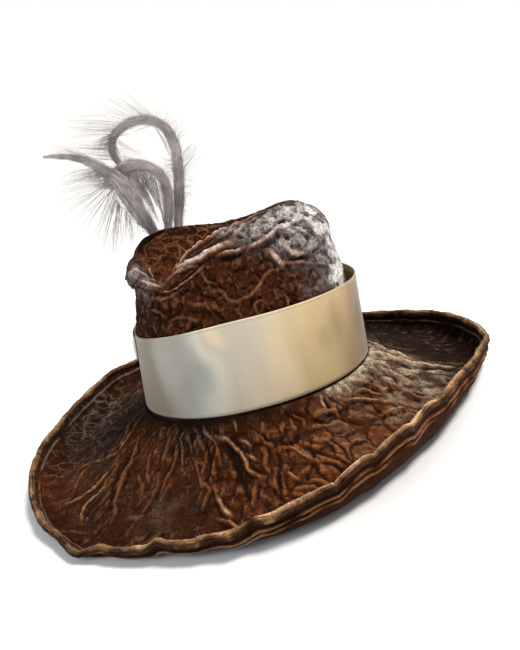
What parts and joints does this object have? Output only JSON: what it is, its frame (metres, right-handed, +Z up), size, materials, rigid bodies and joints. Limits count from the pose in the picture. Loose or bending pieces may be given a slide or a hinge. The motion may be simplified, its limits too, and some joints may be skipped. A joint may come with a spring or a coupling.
{
  "type": "wide-brimmed crushed velvet fedora hat with a plume",
  "caption": "Wide-brimmed crushed velvet hat with a dented crown, a wavy rolled rim, a broad satin band and a plume of curled feathers.",
  "frame": {"origin": "middle of the hat's outline on the floor, at the level that its brim rests on", "axes": "+Z up through the crown, -X towards the front of the hat, -Y towards its left side"},
  "size_m": [0.4314, 0.3936, 0.2982],
  "materials": {
    "crown_velvet": "crushed brown velvet with a pale silvery nap where it turns away",
    "brim_velvet": "crushed dark brown velvet, rust brown on its folds",
    "edge_velvet": "worn tan velvet rolled over the rim's wire",
    "band_satin": "champagne satin ribbon with a soft sheen",
    "feather": "matt mauve-grey feather barbs"
  },
  "bodies": {
    "root": {"crown": "crown_velvet", "brim": "brim_velvet", "edge_roll": "edge_velvet", "band": "band_satin", "band_fold": "band_satin", "plume": "feather"}
  },
  "joints": []
}
